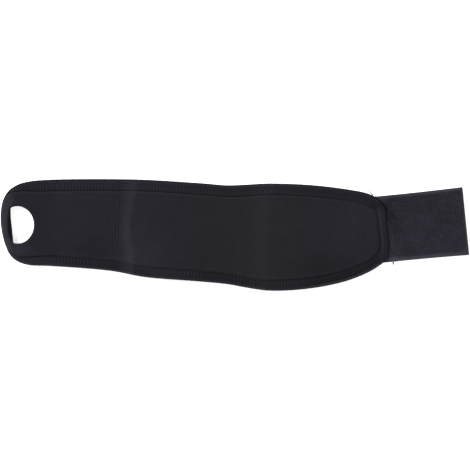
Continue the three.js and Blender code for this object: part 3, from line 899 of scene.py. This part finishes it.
def makeBinding():
    run = np.linspace(0, boundEnd, int(boundEnd / binding["station"]))[:, None]
    width = boundWidth(run)
    smooth = strapEndShare(run)
    # the outer face, from the upper leg round the bend to the lower leg
    bendDepth = bendReach(width)
    turn = np.radians(binding["bend"])
    legIn = width - np.array(binding["legs"]) * (width - bendDepth)
    bendIn = bendDepth * (1 - np.sin(np.minimum(turn, math.pi - turn)))
    tip = len(turn) // 2
    topIn = joined(legIn, bendIn[:, :tip])
    tipIn = bendIn[:, tip:tip + 1]
    bottomIn = joined(bendIn[:, tip + 1:], legIn[:, ::-1])
    nip = binding["scallop"] * (0.5 - 0.5 * seamWave(run)) * (1 - smooth) * (1 - bendIn / bendDepth)
    outerIn = joined(topIn, tipIn, bottomIn) + joined(legIn * 0, nip, legIn * 0)
    outerUp = joined(tapeHeight(run, topIn, width, 1), tipIn * 0, -tapeHeight(run, bottomIn, width, -1))
    # the slot that holds the panel
    slot = mixed(*binding["slot"], smooth) * tuck(run)
    slotDepth = np.minimum(slot, binding["bendShare"] * (width - wrap["wall"]))
    inner = np.radians(binding["inner"])
    innerIn = wrap["wall"] + slotDepth * (1 + np.cos(inner))
    inside = mixed(width, innerIn[:, :1], 0.4)
    inwardBy = joined(outerIn, width, inside, innerIn, inside, width)
    height = joined(outerUp, -slot, -slot, slot * np.sin(inner), slot, slot)
    runs = run + 0 * inwardBy
    steps = np.linalg.norm(np.diff(np.stack([inwardBy, height], -1), axis=1), axis=-1)
    over = joined(0 * width, np.cumsum(steps, axis=1))
    stations, around = inwardBy.shape
    index = np.arange(stations * around).reshape(stations, around)
    after = np.roll(index, -1, axis=1)
    faces = np.stack([index[:-1], index[1:], after[1:], after[:-1]], axis=-1).reshape(-1, 4)
    caps = []
    for ring, way in ((index[0], 1), (index[-1], -1)):
        for k in range(around // 2 - 1):
            caps.append([ring[k], ring[k + 1], ring[around - 2 - k], ring[around - 1 - k]][::way])
    spots = onTape(runs, inwardBy, height).reshape(-1, 3)
    values = dict(tapeRun=runs, tapeOver=over, tapePaintedShading=tapePaintedShading(runs, inwardBy, width))
    return makePiece("edgeBinding", spots, np.vstack([faces, caps]), [bindingTape], values, sharp=62)


edgeBinding = makeBinding()
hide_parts("edge_binding")
print("binding: %d faces" % len(edgeBinding.data.polygons))


# cover stitch over the binding, on both of its faces
seamThread = Finish("seamThread")
twist = seamThread.sine(seamThread.stored("threadRun") / 0.55 + seamThread.stored("threadAround"))
fuzz = seamThread.cloud(seamThread.places(), 2.6, 3.0)
cloth = seamThread.colours(fuzz, stitch["thread"], stitch["threadLight"])
seamThread.clothe(cloth, twist, fuzz, stitch["look"])


def makeThreads(name, tubes):  # rings of points, run, turns, tone and which way the faces turn
    spots, faces, start = [], [], 0
    values = dict(threadRun=[], threadAround=[], threadTone=[])
    for rings, run, turns, tone, way in tubes:
        shape = rings.shape[:3]
        faces.append(start + tubeFaces(*shape)[:, ::way])
        start += math.prod(shape)
        spots.append(rings.reshape(-1, 3))
        for field, number in zip(values.values(), (run, turns / (2 * math.pi), tone)):
            field.append(np.broadcast_to(number, shape).ravel())
    values = {key: np.concatenate(field) for key, field in values.items()}
    return makePiece(name, np.vstack(spots), np.vstack(faces), [seamThread], values)


def makeStitches():
    pitch = wrap["seamPitch"]
    places = np.arange(2, int(boundEnd / pitch) - 1) * pitch
    places = places[(strapEndShare(places) < 0.35) & (ribReach(places) > stitch["shortest"])]
    run = places[:, None, None]
    width = boundWidth(run)
    length = ribReach(run) - stitch["fromGroove"]
    along = np.linspace(0, 1, stitch["rings"])[None, :, None]
    inwardBy = width - stitch["fromGroove"] - along * length
    bow = np.sin(math.pi * along) ** 0.55
    half = stitch["halfWidth"] * mixed(0.55, 1.0, bow) * np.clip(length / 4, 0.7, 1)
    high = stitch["halfHeight"] * mixed(0.6, 1.0, bow)
    turns = ringTurns(stitch["sides"])
    # the thread runs on to the next stitch along the outer side
    link = stitch["link"]
    first = places[:-1][np.diff(places) < pitch * 1.5][:, None, None]
    share = np.linspace(0, 1, link["rings"])[None, :, None]
    linkRun = first + mixed(-link["past"], pitch + link["past"], share)
    linkWidth = boundWidth(linkRun)
    linkIn = linkWidth - ribReach(linkRun)
    linkTurns = ringTurns(link["sides"], link["turn"])
    ringIn = linkIn + link["half"] * np.cos(linkTurns)
    tubes = []
    for face, side in enumerate((1, -1)):
        runAt = run + stitch["wobble"] * ripple(run, run * 0 + side, 1.7, 5)
        runAt = runAt + stitch["slant"] * (along - 0.5) * side
        lift = stitch["lift"][face] - (0.1 * flatShare(run) if side > 0 else 0)
        centre = tapeHeight(runAt, inwardBy, width, side) + mixed(-stitch["sink"], lift, bow)
        ringRun = runAt + half * np.cos(turns)
        legs = onTape(ringRun, inwardBy + 0 * ringRun, side * (centre + high * np.sin(turns)))
        tubes.append((legs, along * length, turns, threadTone(ringRun), -side))
        base = tapeHeight(linkRun, linkIn, linkWidth, side) + link["lift"][face]
        links = onTape(linkRun + 0 * ringIn, ringIn, side * (base + link["half"] * np.sin(linkTurns)))
        tubes.append((links, linkRun, linkTurns, threadTone(linkRun), -side))
    return makeThreads("coverStitch", tubes)


coverStitch = makeStitches()
print("stitches: %d faces" % len(coverStitch.data.polygons))


# hook tape that closes the wrap
strap = dict(
    along=277.5, across=3.3, turn=5.7,
    length=71.7, sewnWidth=50.2, freeWidth=51.4, waist=0.6, base=1.0,
    sideLines=[0, 0.1, 0.25, 0.42, 0.6, 0.8, 1.0, 1.2, 1.45, 1.75, 2.1],
    columns=150, rows=90,
    fray=(0.16, 3),  # how far the cut end strays, and how far in
    cord=dict(width=1.6, inset=0.3, pitch=0.7, height=0.16),  # the cords along its sides
    rounding=(0.35, 0.3),  # sides and end
    seam=0.24,  # how high it lies over the stitches below
    selvedges=(1.9, 3.1),  # upper and lower side
    # creases from the sewn corner: run, side, run, side, width, depth
    creases=[
        (12.4, 17.4, 21.5, 3.6, 1.9, 0.32), (12.0, 10.5, 17.5, 1.5, 1.5, 0.3),
        (12.2, -16, 18, -20, 0.8, 0.3),
    ],
    # painted shade near the seam: run, side, size along, size across, how much
    dark=[(16.5, 4, 5, 12, 0.3), (17, 20, 10, 6, 0.2)],
    patches=0.13,
    cloth=shade(44, 43, 51), clothLight=shade(51, 50, 60), selvedgeCloth=shade(57, 56, 64),
    look=dict(tone="strapPaintedShading", weave=(0.8, 0.3), rough=(0.66, 0.2), fuzz=0.0, depth=0.16,
              specular=0.12, sheen=(0.03, 0.5)),
)

hookCloth = Finish("hookCloth")
run = hookCloth.stored("strapRun")
side = hookCloth.stored("strapSide")
warp = hookCloth.sine(side / 0.7)
weft = hookCloth.sine(run / 0.9 + hookCloth.step(warp, -0.2, 0.2) * 0.5)
fuzz = hookCloth.cloud(hookCloth.spot(run, side), 0.9, 3.0)
cloth = hookCloth.colours(fuzz, strap["cloth"], strap["clothLight"])
cloth = hookCloth.darkened(cloth, 0.85 + 0.15 * hookCloth.step(run + 4 * fuzz, 13.0, 25.0))
cloth = hookCloth.colours(hookCloth.stored("selvedge"), cloth, strap["selvedgeCloth"])
hookCloth.clothe(cloth, 0.5 + 0.25 * warp + 0.25 * weft, fuzz, strap["look"])


def strapWidth(run):
    share = run / strap["length"]
    return mixed(strap["sewnWidth"], strap["freeWidth"], share) - 4 * strap["waist"] * share * (1 - share)


def strapCreases(run, side):  # depth of the creases and height of the folds beside them
    groove, ridge = 0 * run, 0 * run
    for run0, side0, run1, side1, width, depth in strap["creases"]:
        length = math.hypot(run1 - run0, side1 - side0)
        ahead = ((run - run0) * (run1 - run0) + (side - side0) * (side1 - side0)) / length
        beside = ((run - run0) * (side1 - side0) - (side - side0) * (run1 - run0)) / length
        reach = depth * within((-2, 2), (0.5 * length, length), ahead)
        groove = groove + reach * bell(beside, 0, width)
        ridge = ridge + 0.7 * reach * bell(beside, 2.2 * width, 1.2 * width)
    return groove, ridge


def strapShade(run, side):  # painted shade where it leaves the seam and on its upper side, lighter towards its free end, and patchy
    tone = 1.03 - 0.05 * (1 - ease(18, 42, run)) + 0.07 * ease(58, 70, run) - 0.08 * ease(-14, 10, side)
    patches = ripple(run, side, 11, 21) + ripple(run * 0.8, side * 1.7, 5, 22)
    return tone - blots(strap["dark"], run, side) + strap["patches"] * patches


def strapLift(run, side):  # the strap is flat under the seam and buckles a little past it
    past = ease(10.5, 17, run)
    across = side + 0.9 * (run - 14)
    buckle = ripple(run * 0.45, across, 6, 6) * fading(run - 15, 6)
    sway = ripple(run, side * 0.5, 24, 7)
    groove, ridge = strapCreases(run, side)
    lift = past * (0.3 + 0.42 * buckle + 0.2 * sway) + ridge - groove
    return np.maximum(lift, -0.35) * ease(8.5, 11.5, run)


def onStrap(run, side, height):
    turn = math.radians(strap["turn"])
    along = strap["along"] + run * math.cos(turn) - side * math.sin(turn)
    across = strap["across"] + run * math.sin(turn) + side * math.cos(turn)
    return onWrap(np.stack([along, across], axis=-1), height)


def makeStrap():
    run = np.linspace(0, strap["length"], strap["columns"])[:, None]
    width = strapWidth(run)
    near = width / 2 - np.array(strap["sideLines"])
    inside = np.linspace(0, 1, strap["rows"])[1:-1]
    side = joined(near, mixed(near[:, -1:], -near[:, -1:], inside), -near[:, ::-1])
    runs = run + 0 * side
    fromSide = np.maximum(width / 2 - np.abs(side), 0)
    fromEnd = strap["length"] - runs
    stray, reach = strap["fray"]
    fray = stray * waver(side, 0.9, 8) * (1 - ease(0, reach, fromEnd))
    cord = strap["cord"]
    across = np.clip(fromSide - cord["inset"], 0, 2 * cord["pitch"])
    corded = 0.5 * np.cos(2 * math.pi * across / cord["pitch"]) - 1
    corded = cord["height"] * corded * (fromSide < cord["width"])
    atSide, atEnd = strap["rounding"]
    middle = strapLift(runs, side) + strap["base"] / 2
    half = strap["base"] / 2 * mixed(0.35, 1, rounded(fromSide, atSide) * rounded(fromEnd, atEnd))
    heights = (middle + half + corded, np.maximum(middle - half, strap["seam"] * (1 - ease(10, 12, runs))))
    spots = [onStrap(runs + fray, side, height).reshape(-1, 3) for height in heights]
    below = ease(-9, 9, -side)
    selvedge = mixed(0.95, 1.0 - 0.6 * ease(42, 66, runs), below)
    selvedge = selvedge * (1 - ease(-0.4, 0.4, fromSide - mixed(*strap["selvedges"], below)))
    selvedge = np.maximum(selvedge, 0.85 * (1 - ease(0.5, 1.3, fromEnd)))
    # painted shade in the creases, on top of the strap's painted shade
    tone = strapShade(runs, side) - strapCreases(runs, side)[0]
    values = dict(strapRun=(runs, runs), strapSide=(side, side), selvedge=(selvedge, selvedge),
                  strapPaintedShading=(tone, np.ones(tone.shape)))
    faces = np.vstack(sheetFaces(np.ones((side.shape[0] - 1, side.shape[1] - 1), bool)))
    return makePiece("hookStrap", np.vstack(spots), faces, [hookCloth], values)


hookStrap = makeStrap()
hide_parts("hook_strap")

hooks = dict(
    start=12.0, endMargin=1.0, sideMargin=0.3,
    rowPitch=0.84, sidePitch=1.0, stagger=0.4,
    stray=(0.14, 0.15),  # along and across
    radius=0.165, taper=(1.15, 0.75), sides=4,
    profile=[(0, -0.25), (0, 0.45), (0.02, 0.85), (0.11, 1.16), (0.29, 1.28), (0.44, 1.14), (0.49, 0.9)],
    worn=(13, 20), missing=(0.02, 0.37),  # up to there they are pressed down, and fewer
    uneven=dict(heading=0.35, tall=0.07, lean=0.09),
    seed=11,
    tones=(0.54, 0.18), nylon=shade(36, 35, 43), nylonLight=shade(70, 69, 83),
)

hookNylon = Finish("hookNylon")
patches = hookNylon.cloud(hookNylon.places(), 0.12)
tint = hookNylon.stored("hookTone") * 0.82 + hookNylon.step(patches, 0.4, 0.62) * 0.18
hookNylon.dress({
    "Base Color": hookNylon.colours(tint, hooks["nylon"], hooks["nylonLight"]),
    "Roughness": 0.58 + 0.2 * patches,
    "Specular IOR Level": 0.2,
})


def makeHooks():
    chance = np.random.default_rng(hooks["seed"])
    first, last = hooks["start"], strap["length"] - hooks["endMargin"]
    roots = []
    for row in range(int((last - first) / hooks["rowPitch"]) + 1):
        run = first + row * hooks["rowPitch"]
        upper, lower = [strapWidth(run) / 2 - width - hooks["sideMargin"] for width in strap["selvedges"]]
        count = int((upper + lower) / hooks["sidePitch"])
        side = np.linspace(-lower, upper, count) + (row % 2 - 0.5) * hooks["stagger"]
        facing = 0 if row % 2 else math.pi
        roots.append(np.stack([np.full(count, run), side, np.full(count, facing)], axis=1))
    roots = np.vstack(roots)
    roots[:, :2] += chance.normal(0, 1, (len(roots), 2)) * hooks["stray"]
    run, side, facing = roots.T
    flattened = 1 - ease(*hooks["worn"], run + 2.5 * ripple(run * 0.3, side, 5, 12))
    flattened = np.clip(flattened + 1.6 * strapCreases(run, side)[0], 0, 1)
    few, more = hooks["missing"]
    keep = chance.random(len(roots)) > few + more * flattened
    run, side, facing, flattened = [field[keep] for field in (run, side, facing, flattened)]
    count = len(run)
    uneven = hooks["uneven"]
    heading = (chance.normal(0, uneven["heading"], count) + facing)[:, None, None]
    tall = chance.normal(1, uneven["tall"], count) * (1 - 0.55 * flattened)
    lean = chance.normal(0, uneven["lean"], count)
    out, up = np.transpose(hooks["profile"])
    out = out + lean[:, None] * np.maximum(up, 0)
    up = up * tall[:, None]
    step = unit(np.gradient(np.stack([out, up], -1), axis=1))
    radius = hooks["radius"] * np.linspace(*hooks["taper"], out.shape[1])[None, :, None]
    turns = ringTurns(hooks["sides"], math.pi / 4)
    ringOut = out[..., None] - step[..., 1:] * radius * np.cos(turns)
    ringUp = up[..., None] + step[..., :1] * radius * np.cos(turns)
    ringBeside = radius * np.sin(turns)
    runs = run[:, None, None] + np.cos(heading) * ringOut - np.sin(heading) * ringBeside
    sides = side[:, None, None] + np.sin(heading) * ringOut + np.cos(heading) * ringBeside
    base = strapLift(run, side)[:, None, None] + strap["base"]
    low, more = hooks["tones"]
    # random hook colours with painted shade where they are pressed flat and in the creases, times the
    # strap's painted shade
    tones = (low + more * chance.random(count)) * (1 - 0.45 * flattened) * strapShade(run, side) ** 1.5
    values = dict(hookTone=np.repeat(tones, out.shape[1] * hooks["sides"]))
    faces = tubeFaces(*runs.shape)[:, ::-1]
    return makePiece("hookField", onStrap(runs, sides, base + ringUp).reshape(-1, 3), faces, [hookNylon],
                     values, sharp=180)


hookField = makeHooks()
print("strap: %d hook faces" % len(hookField.data.polygons))


# stitches that hold the strap, and a few loose thread ends
sewing = dict(
    length=2.5, pitch=3.1,
    bandFrom=2.3,  # from the outer edge of the end band
    box=(1.6, 9.4, 3.4),  # on the strap's underside: first and last run, in from its sides
    halfWidth=0.2, halfHeight=0.13, rings=7, looseRings=15, sides=6, tone=0.8,
    # start on the tape's edge, how far each end strays out and along, and half its thickness
    loose=[(-11.0, 2.3, -4.4, 0.3), (1.5, 1.1, -1.3, 0.09), (-2.5, 0.9, 1.8, 0.09)],
    # the same at the strap's lower side
    looseLow=[(13.9, 2.0, 0.6, 0.45), (12.4, 1.0, 2.6, 0.09), (17.6, 0.5, -2.2, 0.09)],
)


def sweptThreads(paths, wide, high):  # tubes along many paths of equal count
    step = np.gradient(paths, axis=1)
    flat = unit(np.stack([-step[..., 1], step[..., 0]], axis=-1))
    turns = ringTurns(sewing["sides"])
    around = np.stack([np.cos(turns), np.cos(turns), np.sin(turns)], axis=-1)
    ends = np.sin(math.pi * np.linspace(0.08, 0.92, paths.shape[1])) ** 0.5
    sizes = np.concatenate([flat * wide, np.full(paths[..., :1].shape, high)], axis=-1) * ends[:, None]
    lengths = np.linalg.norm(np.diff(paths, axis=1, prepend=paths[:, :1]), axis=-1)
    rings = paths[:, :, None] + sizes[:, :, None] * around
    return rings, np.cumsum(lengths, axis=1)[..., None], turns, sewing["tone"], 1


def makeSewing():
    share = np.linspace(0, 1, sewing["rings"])[None]
    bow = 0.1 - 0.3 * (2 * share - 1) ** 4
    # along the end band
    run = np.arange(upperCorner + 2, lowerCorner - 2, sewing["pitch"])[:, None] + share * sewing["length"]
    inwardBy = sewing["bandFrom"] + 0.1 * waver(run, 9, 13)
    paths = [onTape(run, inwardBy, tapeHeight(run, inwardBy, boundWidth(run), 1) + bow)]
    # box on the strap's underside
    first, last, inset = sewing["box"]
    half = strap["sewnWidth"] / 2 - inset
    corners = np.array([(first, half), (last, half), (last, -half), (first, -half), (first, half)])
    for a, b in zip(corners[:-1], corners[1:]):
        count = max(2, int(round(np.linalg.norm(b - a) / sewing["pitch"])))
        place = (np.arange(count)[:, None] + share * sewing["length"] / sewing["pitch"]) / count
        run, side = [mixed(a[axis], b[axis], place) for axis in (0, 1)]
        paths.append(onStrap(run, side, 0.2 - 0.6 * bow))
    tubes = [sweptThreads(path, sewing["halfWidth"], sewing["halfHeight"]) for path in paths]
    # loose ends, curled
    share = np.linspace(0, 1, sewing["looseRings"])[None]
    curl = 0.35 * np.sin(2.2 * math.pi * share)
    for offset, out, along, half in sewing["loose"]:
        run = upperCorner + offset + along * share ** 1.5 + curl
        path = onTape(run, 0.5 - (out + 0.5) * share, -0.9 * share)
        tubes.append(sweptThreads(path, half, half))
    for run, out, along, half in sewing["looseLow"]:
        side = -strapWidth(run) / 2 + 0.4 - (out + 0.4) * np.sin(2 * share) - 0.4 * curl
        path = onStrap(run + along * share + curl, side, 0.75 - 0.5 * share)
        tubes.append(sweptThreads(path, half, half))
    return makeThreads("strapSewing", tubes)


strapSewing = makeSewing()
print("sewing: %d faces" % len(strapSewing.data.polygons))


# table, light and camera, lengths in metres
studio = dict(
    floor=(0.9, 0.9, 0.9, 1.0),
    floorLight=(0.93, 0.93, 0.93, 1.0),
    white=(1.0, 1.0, 1.0, 1.0),
    glow=0.62,  # the paper is lit from below too
    reach=20.0, drop=0.0001,
    world=0.36,
    key=dict(place=(-1.75, 0.95, 1.3), size=1.3, watts=96),
    fill=dict(place=(0.9, -0.6, 1.3), size=1.5, watts=9),
    cameraHeight=2.0, centre=(-0.0001, -0.00012), sensor=36, lens=203.8,
)


def makeStudio():
    paper = Finish("paper")
    grain = paper.cloud(paper.places(), 0.02)
    paper.dress({
        "Base Color": paper.colours(grain, studio["floor"], studio["floorLight"]),
        "Roughness": 0.9,
        "Specular IOR Level": 0.1,
        "Emission Color": studio["white"],
        "Emission Strength": studio["glow"],
    })
    mesh = bpy.data.meshes.new("table")
    reach = studio["reach"]
    corners = [(-reach, -reach), (reach, -reach), (reach, reach), (-reach, reach)]
    mesh.from_pydata([(*corner, -studio["drop"]) for corner in corners], [], [(0, 1, 2, 3)])
    mesh.materials.append(paper.material)
    table = addObject("table", mesh)
    for name in ("key", "fill"):
        values = studio[name]
        light = bpy.data.lights.new(name, "AREA")
        light.shape = "DISK"
        light.size = values["size"]
        light.energy = values["watts"]
        lamp = addObject(name, light)
        lamp.location = values["place"]
        lamp.rotation_euler = (-lamp.location).to_track_quat("-Z", "Y").to_euler()
    world = bpy.data.worlds.new("studio")
    world.use_nodes = True
    background = world.node_tree.nodes["Background"]
    background.inputs["Color"].default_value = studio["white"]
    background.inputs["Strength"].default_value = studio["world"]
    view = bpy.data.cameras.new("camera")
    view.sensor_width = studio["sensor"]
    view.lens = studio["lens"]
    view.clip_start = 0.01
    camera = addObject("camera", view)
    camera.location = (*studio["centre"], studio["cameraHeight"])
    scene = bpy.context.scene
    scene.world = world
    scene.camera = camera
    scene.view_settings.view_transform = "Standard"


makeStudio()
print("studio set")

bpy.context.view_layer.update()
